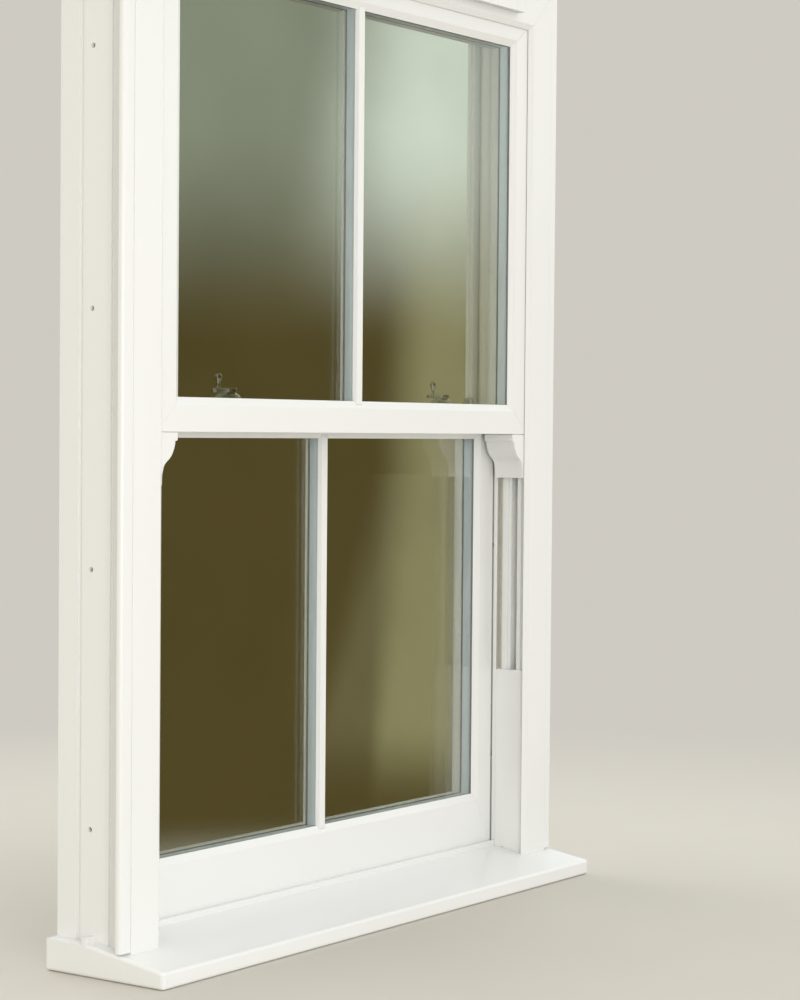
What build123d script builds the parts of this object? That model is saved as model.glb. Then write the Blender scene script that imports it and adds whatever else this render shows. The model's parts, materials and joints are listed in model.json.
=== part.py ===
"""Vertical sliding sash window in white plastic profile, two panes over two.

The origin is on the centre line, under the outside face of the frame, on the
underside of the sill. X runs to the right seen from outside, Y from outside to
inside, Z up. All sizes are in millimetres.
"""
import os
from math import cos, radians, sin

from build123d import *

os.makedirs("parts", exist_ok=True)

# Overall sizes of the frame
frame_width = 1332
frame_height = 1872
member_face = 71

# Legs of the frame section and the tracks between them
outer_leg = 8
middle_leg = 9
inner_leg = 8
leg_bevel = 11
back_groove_width = 8
back_groove_depth = 3
back_grooves = (44, 118)
sash_depth = 70
outer_play = 1.5
inner_play = 2
wall_depth = 66.5
recess_depth = 2.5
recess_width = 11.4
near_recess_width = 15.6

# Slots for the balances in the jambs
slot_width = 17
slot_depth = 30.5
outer_slot_offset = 32.5
inner_slot_offset = 56
slot_step_width = 6
slot_step_depth = 4

# Sill
sill_projection = 96
nose_height = 30
sill_rise = 0.147
sill_end_cap = 12
end_cap_corner = 8.4
nose_round = 6
upstand_height = 11
inner_upstand = 2.2
drip_groove = 6
drip_groove_setback = 18
track_floor_drop = 1

# Sashes
side_clearance = 2.5
stile_width = 62
meeting_bottom = 939
meeting_rail = 61
lower_top_rail = 62
upper_top_rail = 53
bottom_rail = 113.5
sash_bevel = 14
bevel_depth = 8
sill_gap = 4.5
head_gap = 3.5
meeting_overlap = 51
rail_toe = 6
weld_groove = 0.7

# Glazing
glazing_lip = 9
glass_cover = 18
glass_edge_gap = 5
pane_thickness = 4
pane_gap = 20
outer_gasket = 3
inner_gasket = 2
spacer_height = 7
spacer_setback = 5
bar_width = 24
bar_face = 18
bar_height = 8
bar_spacer = 8
mitre_gap = 0.2

# Sash horns: the edge runs through pairs of inset from the top corner and drop below the rail
horn_width = 53
horn_seam = 1.4
horn_seam_depth = 3
horn_shoulder = 12
horn_bead = 4
horn_length = 93
horn_edge = [(6.6, 16), (9.6, 29.5), (17.5, 43), (27, 51), (35.3, 58.5), (39.3, 68.5), (41.5, horn_length)]

# Jamb covers, trims and seals
cover_height = 436
cover_gap = 0.3
cover_clip = 2
cover_clip_depth = 7
cover_round = 1
drain_notch_depth = 3
drain_notch_width = 5
drain_notch_height = 3
trim_width = 27
trim_gap = 4
trim_thickness = 11
trim_setback = 1.5
trim_round = 6.6
brush_width = 5
brush_gap = 0.3
brush_end_gap = 1
brush_recess_gap = 2

# Balances
pivot_height = 12
pivot_radius = 6
plate_thickness = 2.2
plate_height = 48
plate_width = 24
plate_drop = 11
pin_reach = 22
shoe_drop = 13
shoe_height = 62
shoe_gap = 0.5
tube_radius = 7
tube_bore = 4.5
rod_radius = 2.5
fit_gap = 0.3
lower_travel = 650
upper_travel = 404
tube_start_gap = 15
tube_top_gap = 81
rod_overlap = 60

# Locks and keepers on the meeting rails
left_lock_inset = 309.5
right_lock_inset = 174.5
lock_setback = 20
lock_plate = (66, 37, 2.5)
dome_length = 60
dome_width = 33
dome_height = 22
dome_slope = 20
dome_round = 3
lock_roundness = 0.45
cam_radius = 29
cam_thickness = 5
cam_width = 13
cam_play = 1
shaft_radius = 4
arm_thickness = 8
arm_length = 31
arm_tail = 16.5
arm_half_width = 11
arm_end_half_width = 5
arm_round = 1.5
arm_turn = 118
knob_offset = 18
knob_height = 28
knob_foot_radius = 3.9
knob_radius = 6.6
knob_waist = 0.5
knob_waist_level = 0.35
knob_widest_level = 0.8
interlock_depth = 11
interlock_height = 21
interlock_wall = 2.5
keeper_length = 34
keeper_width = 9
keeper_wall = 2
keeper_bevel = 1.2
meeting_brush_drop = 12

# Tilt latches in the top rail of the lower sash
latch_travel = 14
latch_length = 52
latch_width = 15
latch_height = 10
latch_drop = 8
latch_knob_radius = 11.5
latch_knob_height = 26
latch_knob_foot = 6
latch_knob_rim = 18
latch_stem_radius = 3
latch_nose = 5
latch_stem_back = 20
latch_gap = 0.4

# Sash lifts on the bottom rail
lift_spacing = 600
lift_length = 100
lift_reach = 28
lift_bar = 9
lift_height = 52
lift_round = 2.5

# Trickle vent in the head
vent_inset = 138
vent_projection = 20
vent_drop = 55
vent_hood_height = 40
vent_wall = 2
vent_cap_length = 29
vent_cap_line = 0.7
vent_round = 14
vent_top_depth = 6
vent_slot_count = 3
vent_slot_height = 11
vent_slot_end = 12
vent_slot_gap = 40
vent_slot_drop = 25
vent_inner_inset = 18
vent_inner_height = 34
vent_inner_depth = 12
vent_inner_drop = 4
vent_rim = 8
vent_rim_height = 5
vent_edge_round = 1
flap_thickness = 3
flap_gap = 1
flap_pin_radius = 1.3
flap_pin_reach = 5
flap_grip_length = 80
flap_grip_reach = 5

# How far a cut runs past the face that it starts from
overrun = 1

# Holes for fixing the jambs to the wall
fixing_radius = 4.5
fixing_count = 4
fixing_spacing = 450
fixing_first = 250

# Places worked out from the sizes above
half_width = frame_width / 2
wall_x = half_width - wall_depth
sash_half = half_width - member_face - side_clearance
upper_face = outer_leg + outer_play
upper_back = upper_face + sash_depth
middle_front = upper_back + outer_play
middle_back = middle_front + middle_leg
lower_face = middle_back + inner_play
lower_back = lower_face + sash_depth
inner_front = lower_back + outer_play
frame_depth = inner_front + inner_leg
slot_back_x = wall_x + slot_depth
outer_slot_y = upper_face + outer_slot_offset
inner_slot_y = lower_face + inner_slot_offset
sill_at_face = nose_height + sill_projection * sill_rise
sill_at_upstand = sill_at_face + middle_front * sill_rise
upstand_top = sill_at_upstand + upstand_height
track_floor = sill_at_upstand - track_floor_drop
lower_bottom = track_floor + sill_gap
lower_sight = lower_bottom + bottom_rail
upper_top = frame_height - wall_depth - head_gap
upper_sight_top = upper_top - upper_top_rail
meeting_sight = meeting_bottom + meeting_rail
lower_top = meeting_bottom + meeting_overlap
lower_sight_top = lower_top - lower_top_rail
sight_half = sash_half - stile_width
opening_half = half_width - member_face
leg_tip = opening_half - leg_bevel
glass_front = glazing_lip + outer_gasket
inner_pane = glass_front + pane_thickness + pane_gap
bead_start = inner_pane + pane_thickness + inner_gasket
sill_length = frame_width + 2 * trim_width
vent_length = frame_width - 2 * vent_inset
vent_inner_length = vent_length - 2 * vent_inner_inset
vent_mouth_length = vent_inner_length - 2 * vent_rim
vent_slot_pitch = (vent_mouth_length - 2 * vent_slot_end + vent_slot_gap) / vent_slot_count
vent_slot_length = vent_slot_pitch - vent_slot_gap
lock_places = {"left": left_lock_inset - sash_half, "right": sash_half - right_lock_inset}


def save(piece, node):
    """Label a finished piece and write it under its node name."""
    piece.part.label = node
    export_step(piece.part, f"parts/{node}.step")


def save_pair(piece, node):
    """Write a right-hand piece and its mirror image on the left."""
    save(piece, f"{node}_right")
    with BuildPart() as other_hand:
        mirror(piece.part, about=Plane.YZ)
    save(other_hand, f"{node}_left")


def box_between(low, high, mode=Mode.ADD):
    """Add or cut a block given its lowest and highest corners."""
    middle = [(a + b) / 2 for a, b in zip(low, high)]
    size = [b - a for a, b in zip(low, high)]
    with Locations(tuple(middle)):
        Box(*size, mode=mode)


# Frame section, as pairs of distance in from the outside edge and depth from the outside face
def frame_outline():
    wall = wall_depth
    recess = wall - recess_depth
    tip = member_face + leg_bevel
    slot_floor = wall - slot_depth
    half_slot = slot_width / 2
    outer_slot = (outer_slot_y - half_slot, outer_slot_y + half_slot)
    inner_slot = (inner_slot_y - half_slot, inner_slot_y + half_slot)
    step = wall - slot_step_depth
    return [
        (0, 0),
        (member_face, 0),
        (tip, outer_leg),
        (recess, outer_leg),
        (recess, outer_leg + near_recess_width),
        (wall, outer_leg + near_recess_width),
        (wall, outer_slot[0]),
        (slot_floor, outer_slot[0]),
        (slot_floor, outer_slot[1]),
        (step, outer_slot[1]),
        (step, outer_slot[1] + slot_step_width),
        (wall, outer_slot[1] + slot_step_width),
        (wall, middle_front - recess_width),
        (recess, middle_front - recess_width),
        (recess, middle_front),
        (member_face, middle_front),
        (member_face, middle_back),
        (recess, middle_back),
        (recess, middle_back + recess_width),
        (wall, middle_back + recess_width),
        (wall, inner_slot[0] - slot_step_width),
        (step, inner_slot[0] - slot_step_width),
        (step, inner_slot[0]),
        (slot_floor, inner_slot[0]),
        (slot_floor, inner_slot[1]),
        (wall, inner_slot[1]),
        (wall, inner_front),
        (member_face, inner_front),
        (member_face, frame_depth),
        (0, frame_depth),
        *back_groove(back_grooves[1]),
        *back_groove(back_grooves[0]),
    ]


def back_groove(start):
    """One groove in the outside of the frame, walked from the room towards the outside face."""
    end = start + back_groove_width
    return [(0, end), (back_groove_depth, end), (back_groove_depth, start), (0, start)]


def sill_outline():
    """Sill section in Y and Z: sloping nose, weather upstand and the inner track."""
    return [
        (-sill_projection, 0),
        (-sill_projection, nose_height),
        (middle_front, sill_at_upstand),
        (middle_front, upstand_top),
        (middle_back, upstand_top),
        (middle_back, track_floor),
        (inner_front, track_floor),
        (inner_front, track_floor + inner_upstand),
        (frame_depth, track_floor + inner_upstand),
        (frame_depth, 0),
    ]


def make_sill():
    body_half = sill_length / 2 - sill_end_cap
    with BuildPart() as sill:
        with BuildSketch(Plane.YZ.offset(-body_half)):
            with BuildLine():
                Polyline(*sill_outline(), close=True)
            make_face()
        extrude(amount=2 * body_half)
        front = sill.edges().filter_by(Axis.X).group_by(Axis.Y)[0]
        fillet(front, nose_round)
        # Drip groove along the underside of the nose
        groove_y = drip_groove_setback - sill_projection
        box_between((-body_half, groove_y, -overrun), (body_half, groove_y + drip_groove, drip_groove / 2),
                    mode=Mode.SUBTRACT)
    save(sill, "sill")


def make_sill_end_cap():
    """Moulded cap on the end of the sill, with its front corner rounded."""
    with BuildPart() as sill_end_cap_right:
        with BuildSketch(Plane.YZ.offset(sill_length / 2 - sill_end_cap)):
            with BuildLine():
                Polyline(*sill_outline(), close=True)
            make_face()
        extrude(amount=sill_end_cap)
        cap = sill_end_cap_right
        corner = cap.edges().filter_by(Axis.Z).sort_by(Axis.Y)[0:2].sort_by(Axis.X)[-1]
        fillet(corner, end_cap_corner)
        fillet(cap.edges().filter_by(Axis.X).group_by(Axis.Y)[0], nose_round)
    save_pair(sill_end_cap_right, "sill_end_cap")


def make_jamb():
    """Upright of the frame, mitred into the head and scribed over the sill."""
    with BuildPart() as frame_jamb_right:
        with BuildSketch(Plane.XY):
            with BuildLine():
                Polyline(*[(half_width - p, y) for p, y in frame_outline()], close=True)
            make_face()
        extrude(amount=frame_height)
        mitre = Plane(origin=(half_width, 0, frame_height), x_dir=(0, 1, 0), z_dir=(1, 0, -1))
        split(bisect_by=mitre, keep=Keep.TOP)
        with BuildSketch(Plane.YZ.offset(leg_tip - overrun)):
            with BuildLine():
                Polyline(*sill_outline(), close=True)
            make_face()
        extrude(amount=frame_width / 2, mode=Mode.SUBTRACT)
        # Fixing holes in the recess behind the middle leg, which the lower sash covers
        fixing_y = middle_back + recess_width / 2
        with Locations(*[
            Plane(origin=(wall_x + recess_depth, fixing_y, fixing_first + i * fixing_spacing),
                  z_dir=(-1, 0, 0))
            for i in range(fixing_count)
        ]):
            Hole(fixing_radius, depth=wall_depth)
    save_pair(frame_jamb_right, "frame_jamb")


def make_head():
    """Head of the frame, the same section as the jambs, with slots for the vent."""
    with BuildPart() as frame_head:
        with BuildSketch(Plane.YZ.offset(-half_width)):
            with BuildLine():
                Polyline(*[(y, frame_height - p) for p, y in frame_outline()], close=True)
            make_face()
        extrude(amount=frame_width)
        for side in (-1, 1):
            mitre = Plane(origin=(side * half_width, 0, frame_height), x_dir=(0, 1, 0),
                          z_dir=(-side, 0, 1))
            split(bisect_by=mitre, keep=Keep.TOP)
        slot_z = frame_height - vent_slot_drop
        with BuildSketch(Plane.XZ):
            with Locations((0, slot_z)):
                with GridLocations(vent_slot_pitch, 1, vent_slot_count, 1):
                    SlotOverall(vent_slot_length, vent_slot_height)
        extrude(amount=-frame_depth, mode=Mode.SUBTRACT)
    save(frame_head, "frame_head")


def make_jamb_cover():
    """Filler that closes the outer track below the travel of the upper sash."""
    face_x = opening_half - cover_gap
    with BuildPart() as jamb_cover_right:
        box_between((face_x, outer_leg + cover_gap, 0), (wall_x, middle_front - cover_gap, cover_height))
        for edge in (-1, 1):
            clip_y = outer_slot_y + edge * (slot_width / 2 - cover_clip)
            box_between((wall_x - overrun, clip_y - cover_clip / 2, 0),
                        (wall_x + cover_clip_depth, clip_y + cover_clip / 2, cover_height))
        with BuildSketch(Plane.YZ.offset(face_x - overrun)):
            with BuildLine():
                Polyline(*sill_outline(), close=True)
            make_face()
        extrude(amount=cover_clip_depth + member_face, mode=Mode.SUBTRACT)
        # Drain notch at the foot
        notch_y = outer_slot_y + slot_width
        notch_z = sill_at_face + notch_y * sill_rise
        box_between((face_x - overrun, notch_y, notch_z - 2 * overrun),
                    (face_x + drain_notch_depth, notch_y + drain_notch_width, notch_z + drain_notch_height),
                    mode=Mode.SUBTRACT)
        top_edge = jamb_cover_right.faces().sort_by(Axis.Z)[-1].edges().sort_by(Axis.X)[0]
        fillet(top_edge, cover_round)
    save_pair(jamb_cover_right, "jamb_cover")


def make_jamb_trim():
    """Strip that closes the joint between the frame and the wall."""
    with BuildPart() as jamb_trim_right:
        box_between((half_width, trim_setback, sill_at_face + trim_gap),
                    (half_width + trim_width, trim_setback + trim_thickness, frame_height))
        front = jamb_trim_right.edges().filter_by(Axis.Z).group_by(Axis.Y)[0].sort_by(Axis.X)[-1]
        fillet(front, trim_round)
    save_pair(jamb_trim_right, "jamb_trim")


def make_brush_seals():
    """Pile strips on the jambs: one behind the outer leg, two beside the sashes."""
    outer_strip_y = middle_front - (recess_width + brush_width) / 2
    inner_strip_y = middle_back + recess_width + brush_recess_gap
    strip_top = frame_height - wall_depth - brush_end_gap
    bevel_strip_x = leg_tip + brush_end_gap
    edge = sash_half + brush_gap
    with BuildPart() as brush_seals:
        for side in (-1, 1):
            strips = [
                ((edge, outer_strip_y), (wall_x + recess_depth, outer_strip_y + brush_width),
                 cover_height + 2 * brush_end_gap),
                ((edge, inner_strip_y), (wall_x, inner_strip_y + brush_width), track_floor + brush_end_gap),
                ((bevel_strip_x, outer_leg), (bevel_strip_x + brush_width, upper_face - brush_gap),
                 sill_at_face + outer_leg * sill_rise + brush_end_gap),
            ]
            for low, high, foot in strips:
                corners_x = sorted((side * low[0], side * high[0]))
                box_between((corners_x[0], low[1], foot), (corners_x[1], high[1], strip_top))
    save(brush_seals, "brush_seals")


# Each sash is a set of sight lines: half width, then bottom and top of the glass
def sash_mouth(face_y, bottom, top, depth):
    """The clear opening from outside: the bevel, then straight in to the given depth."""
    height = top - bottom
    middle = (top + bottom) / 2
    with BuildPart() as mouth:
        with BuildSketch(Plane.XZ.offset(-face_y)):
            with Locations((0, middle)):
                Rectangle(2 * (sight_half + sash_bevel), height + 2 * sash_bevel)
        with BuildSketch(Plane.XZ.offset(-face_y - bevel_depth)):
            with Locations((0, middle)):
                Rectangle(2 * sight_half, height)
        loft(ruled=True)
        box_between((-sight_half, face_y + bevel_depth, bottom), (sight_half, face_y + depth, top))
    return mouth.part


def glazing_void(face_y, bottom, top):
    """The space inside the sash members: bevelled mouth, lip and glazing rebate."""
    with BuildPart() as void:
        add(sash_mouth(face_y, bottom, top, glazing_lip))
        box_between((-sight_half - glass_cover, face_y + glazing_lip, bottom - glass_cover),
                    (sight_half + glass_cover, face_y + sash_depth, top + glass_cover))
    return void.part


def toe_wedge():
    """The corner taken off the foot of the lower sash so that it clears the track as it tilts."""
    with BuildPart() as wedge:
        with BuildSketch(Plane.YZ.offset(-half_width)):
            with BuildLine():
                Polyline((lower_back - rail_toe, lower_bottom), (lower_back, lower_bottom + rail_toe),
                         (lower_back + overrun, lower_bottom - overrun), close=True)
            make_face()
        extrude(amount=frame_width)
    return wedge.part


def make_member(corners, face_y, void, node):
    """One welded member of a sash, cut to the mitres at its ends."""
    with BuildPart() as member:
        with BuildSketch(Plane.XZ.offset(-face_y)):
            with BuildLine():
                Polyline(*corners, close=True)
            make_face()
        extrude(amount=-sash_depth)
        front = member.faces().sort_by(Axis.Y)[0]
        mitres = front.edges().filter_by(Axis.X, reverse=True).filter_by(Axis.Z, reverse=True)
        chamfer(mitres, weld_groove)
        add(void, mode=Mode.SUBTRACT)
        if face_y == lower_face:
            add(toe_wedge(), mode=Mode.SUBTRACT)
            cut_latch_pockets()
    save(member, node)


def make_sash_frame(prefix, face_y, outer, sight, rail_names):
    """The four members round one sash, from its outer and sight rectangles."""
    bottom, top = outer
    sight_bottom, sight_top = sight
    void = glazing_void(face_y, sight_bottom, sight_top)
    low_out, low_in = (sash_half, bottom), (sight_half, sight_bottom)
    high_out, high_in = (sash_half, top), (sight_half, sight_top)

    def flip(point):
        return (-point[0], point[1])

    make_member([low_out, high_out, high_in, low_in], face_y, void, f"{prefix}_stile_right")
    make_member([flip(low_out), flip(high_out), flip(high_in), flip(low_in)], face_y, void,
                f"{prefix}_stile_left")
    make_member([high_out, high_in, flip(high_in), flip(high_out)], face_y, void, rail_names[1])
    make_member([low_out, low_in, flip(low_in), flip(low_out)], face_y, void, rail_names[0])


def ring_parts(half, bottom, top, inner, depth_from, depth_to, mode=Mode.ADD):
    """Four straight strips round an opening, cut apart by a small gap at the corners."""
    box_between((-half, depth_from, bottom), (-half + inner, depth_to, top), mode=mode)
    box_between((half - inner, depth_from, bottom), (half, depth_to, top), mode=mode)
    run = half - inner - mitre_gap
    box_between((-run, depth_from, bottom), (run, depth_to, bottom + inner), mode=mode)
    box_between((-run, depth_from, top - inner), (run, depth_to, top), mode=mode)


def make_glazing(prefix, face_y, sight):
    """Panes, spacer bars, gaskets, beads and glazing bars of one sash."""
    bottom, top = sight
    cover = glass_cover - glass_edge_gap
    pane_low = (-sight_half - cover, bottom - cover)
    pane_high = (sight_half + cover, top + cover)
    outer_y = face_y + glass_front
    inner_y = face_y + inner_pane
    for name, pane_y in (("outer", outer_y), ("inner", inner_y)):
        with BuildPart() as pane:
            box_between((pane_low[0], pane_y, pane_low[1]),
                        (pane_high[0], pane_y + pane_thickness, pane_high[1]))
        save(pane, f"{prefix}_pane_{name}")

    with BuildPart() as spacers:
        set_in = cover - spacer_setback
        gap_from = outer_y + pane_thickness
        ring_parts(sight_half + set_in, bottom - set_in, top + set_in, spacer_height, gap_from, inner_y)
        clear = spacer_height - set_in + mitre_gap
        for side in (-1, 1):
            centre = side * (bar_spacer / 2 + mitre_gap / 2)
            box_between((centre - bar_spacer / 2, gap_from, bottom + clear),
                        (centre + bar_spacer / 2, inner_y, top - clear))
    save(spacers, f"{prefix}_spacer_bars")

    with BuildPart() as gaskets:
        lip = glass_cover / 2
        ring_parts(sight_half + lip, bottom - lip, top + lip, lip, face_y + glazing_lip, outer_y)
        ring_parts(sight_half + lip, bottom - lip, top + lip, lip, inner_y + pane_thickness,
                   face_y + bead_start)
    save(gaskets, f"{prefix}_gaskets")

    bead_void = make_bead_void(face_y, bottom, top)
    with BuildPart() as beads:
        box_between((-sight_half - glass_cover, face_y + bead_start, bottom - glass_cover),
                    (sight_half + glass_cover, face_y + sash_depth, top + glass_cover))
        add(bead_void, mode=Mode.SUBTRACT)
        for side in (-1, 1):
            for level, fall in ((bottom, -1), (top, 1)):
                corner = Plane(origin=(side * sight_half, face_y + sash_depth / 2, level),
                               x_dir=(side, 0, fall), z_dir=(0, 1, 0))
                with BuildSketch(corner.offset(-sash_depth)):
                    Rectangle(4 * glass_cover, mitre_gap)
                extrude(amount=2 * sash_depth, mode=Mode.SUBTRACT)
    save(beads, f"{prefix}_beads")

    mouth = sash_mouth(face_y, bottom, top, glass_front)
    with BuildPart() as outside_bar:
        add(bar_prism(outer_y, outer_y - bar_height, bottom, top))
        add(mouth, mode=Mode.INTERSECT)
    save(outside_bar, f"{prefix}_bar_outside")
    glass_face = inner_y + pane_thickness
    with BuildPart() as inside_bar:
        add(bar_prism(glass_face, glass_face + bar_height, bottom, top))
        add(bead_void, mode=Mode.INTERSECT)
    save(inside_bar, f"{prefix}_bar_inside")


def make_bead_void(face_y, bottom, top):
    """The clear opening inside the beads, widening towards the room."""
    height = top - bottom
    middle = (top + bottom) / 2
    start = face_y + inner_pane + pane_thickness
    with BuildPart() as bead_void:
        with BuildSketch(Plane.XZ.offset(-start)):
            with Locations((0, middle)):
                Rectangle(2 * sight_half, height)
        extrude(amount=-(sash_depth - inner_pane - pane_thickness - bevel_depth))
        with BuildSketch(Plane.XZ.offset(-face_y - sash_depth + bevel_depth)):
            with Locations((0, middle)):
                Rectangle(2 * sight_half, height)
        with BuildSketch(Plane.XZ.offset(-face_y - sash_depth)):
            with Locations((0, middle)):
                Rectangle(2 * (sight_half + sash_bevel), height + 2 * sash_bevel)
        loft(ruled=True)
    return bead_void.part


def bar_prism(glass_y, face_y, bottom, top):
    """Glazing bar stuck to the glass, with sloping sides, before its ends are scribed."""
    with BuildPart() as bar:
        with BuildSketch(Plane.XY.offset(bottom - glass_cover)):
            with BuildLine():
                Polyline((-bar_width / 2, glass_y), (bar_width / 2, glass_y), (bar_face / 2, face_y),
                         (-bar_face / 2, face_y), close=True)
            make_face()
        extrude(amount=top - bottom + 2 * glass_cover)
    return bar.part


def make_horn():
    """Sash horn under the end of the meeting rail: beaded shoulder, then an ogee edge."""
    inner_x = sash_half - horn_width
    top = meeting_bottom - horn_seam
    shoulder = meeting_bottom - horn_shoulder
    bead = (inner_x + horn_bead, shoulder - horn_bead)
    edge = [(inner_x + inset, meeting_bottom - drop) for inset, drop in horn_edge]
    with BuildPart() as horn_right:
        with BuildSketch(Plane.XZ.offset(-upper_face)):
            with BuildLine():
                Polyline((inner_x, shoulder), (inner_x, top), (sash_half, top),
                         (sash_half, meeting_bottom - horn_length), edge[-1])
                RadiusArc((inner_x, shoulder), bead, -horn_bead)
                Line(bead, edge[0])
                Spline(*edge, tangents=[(0, -1), (0, -1)])
            make_face()
        extrude(amount=-sash_depth)
        # Neck that joins the horn to the rail behind a fine open seam
        box_between((inner_x + horn_seam_depth, upper_face + horn_seam_depth, top - 1),
                    (sash_half, upper_back - horn_seam_depth, meeting_bottom))
    save_pair(horn_right, "horn")


def make_interlock():
    """Angle strip on the inside of the meeting rail, and the brush it shelters."""
    run = sash_half - side_clearance
    flange = upper_back + interlock_wall
    with BuildPart() as interlock:
        box_between((-run, upper_back, lower_top - interlock_wall),
                    (run, upper_back + interlock_depth, lower_top))
        box_between((-run, upper_back, lower_top - interlock_height), (run, flange, lower_top))
    save(interlock, "interlock")
    brush_top = lower_top - meeting_brush_drop
    with BuildPart() as meeting_brush:
        box_between((-run, flange, brush_top - brush_width), (run, lower_face - brush_gap, brush_top))
    save(meeting_brush, "meeting_brush")


def cam_levels():
    """Underside and top of the lock cams, one running gap above the lock plates."""
    cam_foot = lower_top + lock_plate[2] + cam_play
    return cam_foot, cam_foot + cam_thickness


def make_keepers():
    """Hooks open towards the room: the lock cams turn in under their lips."""
    cam_foot, cam_top = cam_levels()
    front = upper_back + (interlock_depth - keeper_width) / 2
    lip_foot = cam_top + cam_play
    half = keeper_length / 2
    with BuildPart() as lock_keepers:
        for place in lock_places.values():
            box_between((place - half, front, lower_top),
                        (place + half, front + keeper_width, lip_foot + keeper_wall))
            box_between((place - half - overrun, front + keeper_wall, cam_foot - cam_play),
                        (place + half + overrun, front + keeper_width + overrun, lip_foot),
                        mode=Mode.SUBTRACT)
        keeper_tops = lock_keepers.faces().filter_by(Axis.Z).group_by(Axis.Z)[-1]
        chamfer(keeper_tops.edges().filter_by(Axis.Y), keeper_bevel)
    save(lock_keepers, "lock_keepers")


def balance_parts(prefix, slot_y, pivot_z, travel_up, travel_down):
    """Shoes, rods, tubes and pivot plates of one pair of balances."""
    shoe_foot = pivot_z - shoe_drop
    shoe_top = shoe_foot + shoe_height
    tube_foot = shoe_top + travel_up + tube_start_gap
    tube_top = frame_height - tube_top_gap
    rod_top = tube_foot + travel_down + rod_overlap
    tube_x = slot_back_x - fit_gap - tube_radius
    half_shoe = slot_width / 2 - shoe_gap

    with BuildPart() as shoes:
        for side in (-1, 1):
            near, far = side * (wall_x + 2 * shoe_gap), side * (slot_back_x - fit_gap)
            box_between((min(near, far), slot_y - half_shoe, shoe_foot),
                        (max(near, far), slot_y + half_shoe, shoe_top))
            with Locations(Plane(origin=(side * wall_x, slot_y, pivot_z), z_dir=(side, 0, 0))):
                Cylinder(pivot_radius + fit_gap, 2 * slot_depth, mode=Mode.SUBTRACT)
    save(shoes, f"{prefix}_shoes")

    with BuildPart() as rods:
        for side in (-1, 1):
            with Locations((side * tube_x, slot_y, (shoe_top + rod_top) / 2)):
                Cylinder(rod_radius, rod_top - shoe_top)
    save(rods, f"{prefix}_rods")

    with BuildPart() as tubes:
        for side in (-1, 1):
            with Locations((side * tube_x, slot_y, (tube_foot + tube_top) / 2)):
                Cylinder(tube_radius, tube_top - tube_foot)
                Cylinder(tube_bore, tube_top - tube_foot, mode=Mode.SUBTRACT)
    save(tubes, f"{prefix}_balance_tubes")

    with BuildPart() as pivots:
        for side in (-1, 1):
            near, far = side * sash_half, side * (sash_half + plate_thickness)
            foot = pivot_z - plate_drop
            box_between((min(near, far), slot_y - plate_width / 2, foot),
                        (max(near, far), slot_y + plate_width / 2, foot + plate_height))
            reach = plate_thickness + pin_reach
            middle_x = side * (sash_half + reach / 2)
            with Locations(Plane(origin=(middle_x, slot_y, pivot_z), z_dir=(side, 0, 0))):
                Cylinder(pivot_radius, reach)
    save(pivots, f"{prefix}_pivot_plates")


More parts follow.
